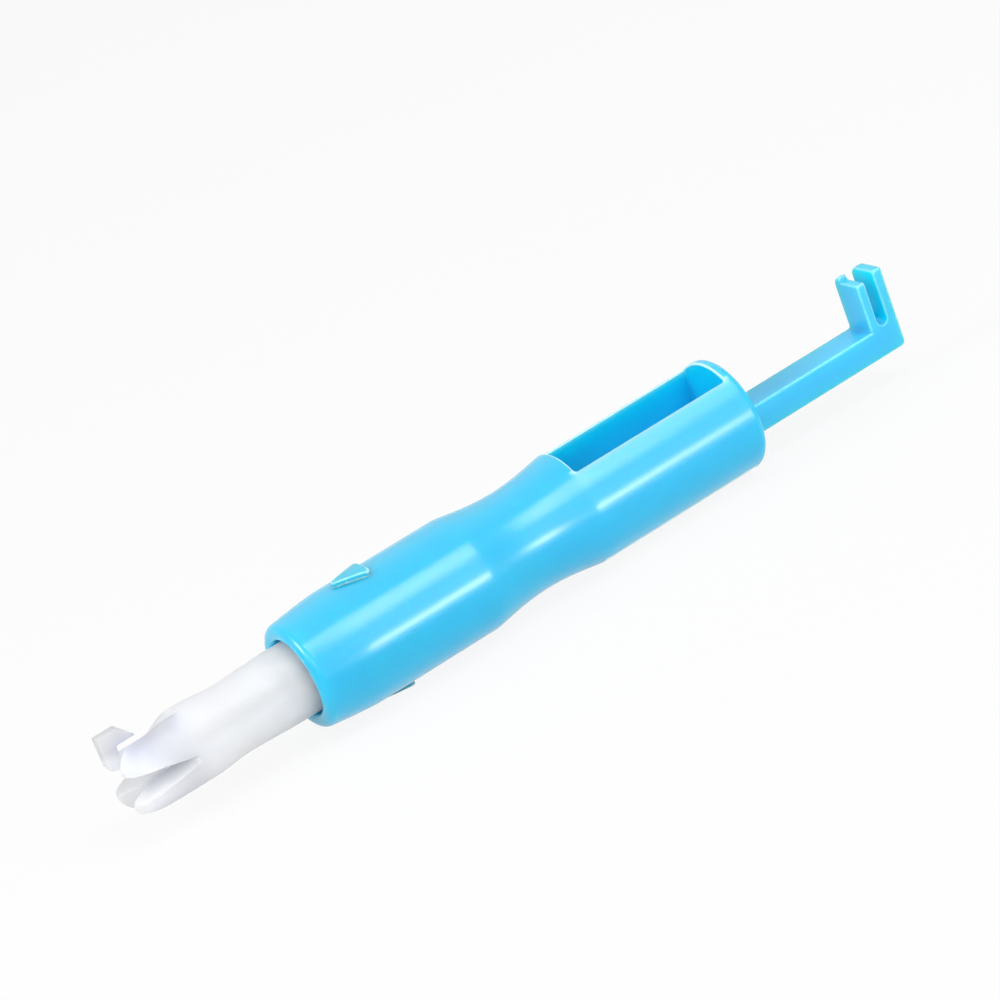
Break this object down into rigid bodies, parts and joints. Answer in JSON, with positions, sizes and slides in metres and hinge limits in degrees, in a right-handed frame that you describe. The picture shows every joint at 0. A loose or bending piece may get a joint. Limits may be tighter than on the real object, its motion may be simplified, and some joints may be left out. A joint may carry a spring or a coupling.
{
  "type": "needle inserter",
  "caption": "Hand tool with a sprung, forked threader head at one end and a slotted arm that holds a sewing-machine needle at the other, on a waisted grip with an open window.",
  "frame": {"origin": "centre of the tool's box, on the grip's axis", "axes": "+X along the tool from the threading tip to the needle arm, +Z towards the open window and the top of the arm's head"},
  "size_m": [0.0936, 0.012, 0.013],
  "materials": {
    "blue_plastic": "glossy, slightly translucent sky blue",
    "milky_plastic": "translucent milky white, soft gloss",
    "holder_plastic": "natural white, matte",
    "steel_wire": "drawn wire"
  },
  "bodies": {
    "grip": {"grip": "blue_plastic", "needle_arm": "blue_plastic", "pusher_pin": "steel_wire", "pin_holder": "holder_plastic", "return_spring": "steel_wire"},
    "threader_head": {"threader_head": "milky_plastic"}
  },
  "joints": [
    {"name": "threader_slide", "type": "slide", "parent": "grip", "child": "threader_head", "axis": [1, 0, 0], "range_m": [0, 0.004], "stiffness_N_per_m": 150, "springref_m": -0.002, "deforming": ["return_spring"]}
  ]
}
